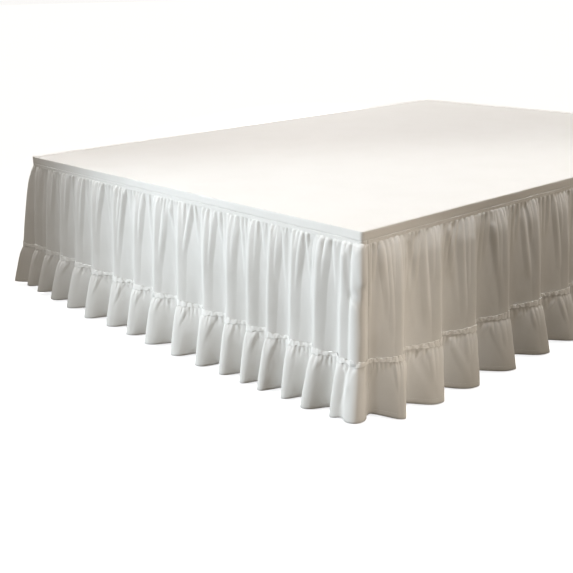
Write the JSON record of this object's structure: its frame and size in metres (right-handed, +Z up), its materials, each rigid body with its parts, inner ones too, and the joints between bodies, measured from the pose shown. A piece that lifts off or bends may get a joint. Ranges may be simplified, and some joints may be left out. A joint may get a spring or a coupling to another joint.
{
  "type": "bed skirt on a plain bed base",
  "caption": "Tiered, gathered bed skirt with a flat band and a ruched trim above its flounce, hung round the foot and long sides of a plain bed base on legs.",
  "frame": {"origin": "middle of the bed base's top face", "axes": "+X along the foot towards the corner that shows, +Y towards the head of the bed, +Z up"},
  "size_m": [1.6872, 2.0841, 0.4525],
  "materials": {
    "skirt_cloth": "soft plain-woven brushed cloth, off-white",
    "skirt_trim": "soft ruched cloth, off-white",
    "base_cover": "plain woven cover, white",
    "leg_wood": "plain light wood, matt"
  },
  "bodies": {
    "root": {"band": "skirt_cloth", "tape_foot": "skirt_cloth", "tape_left": "skirt_cloth", "tape_right": "skirt_cloth", "upper_tier_foot": "skirt_cloth", "upper_tier_left": "skirt_cloth", "upper_tier_right": "skirt_cloth", "flounce_foot": "skirt_cloth", "flounce_left": "skirt_cloth", "flounce_right": "skirt_cloth", "trim_foot": "skirt_trim", "trim_left": "skirt_trim", "trim_right": "skirt_trim", "bed_base": "base_cover", "bed_leg_foot_left": "leg_wood", "bed_leg_foot_right": "leg_wood", "bed_leg_head_left": "leg_wood", "bed_leg_head_right": "leg_wood"}
  },
  "joints": []
}
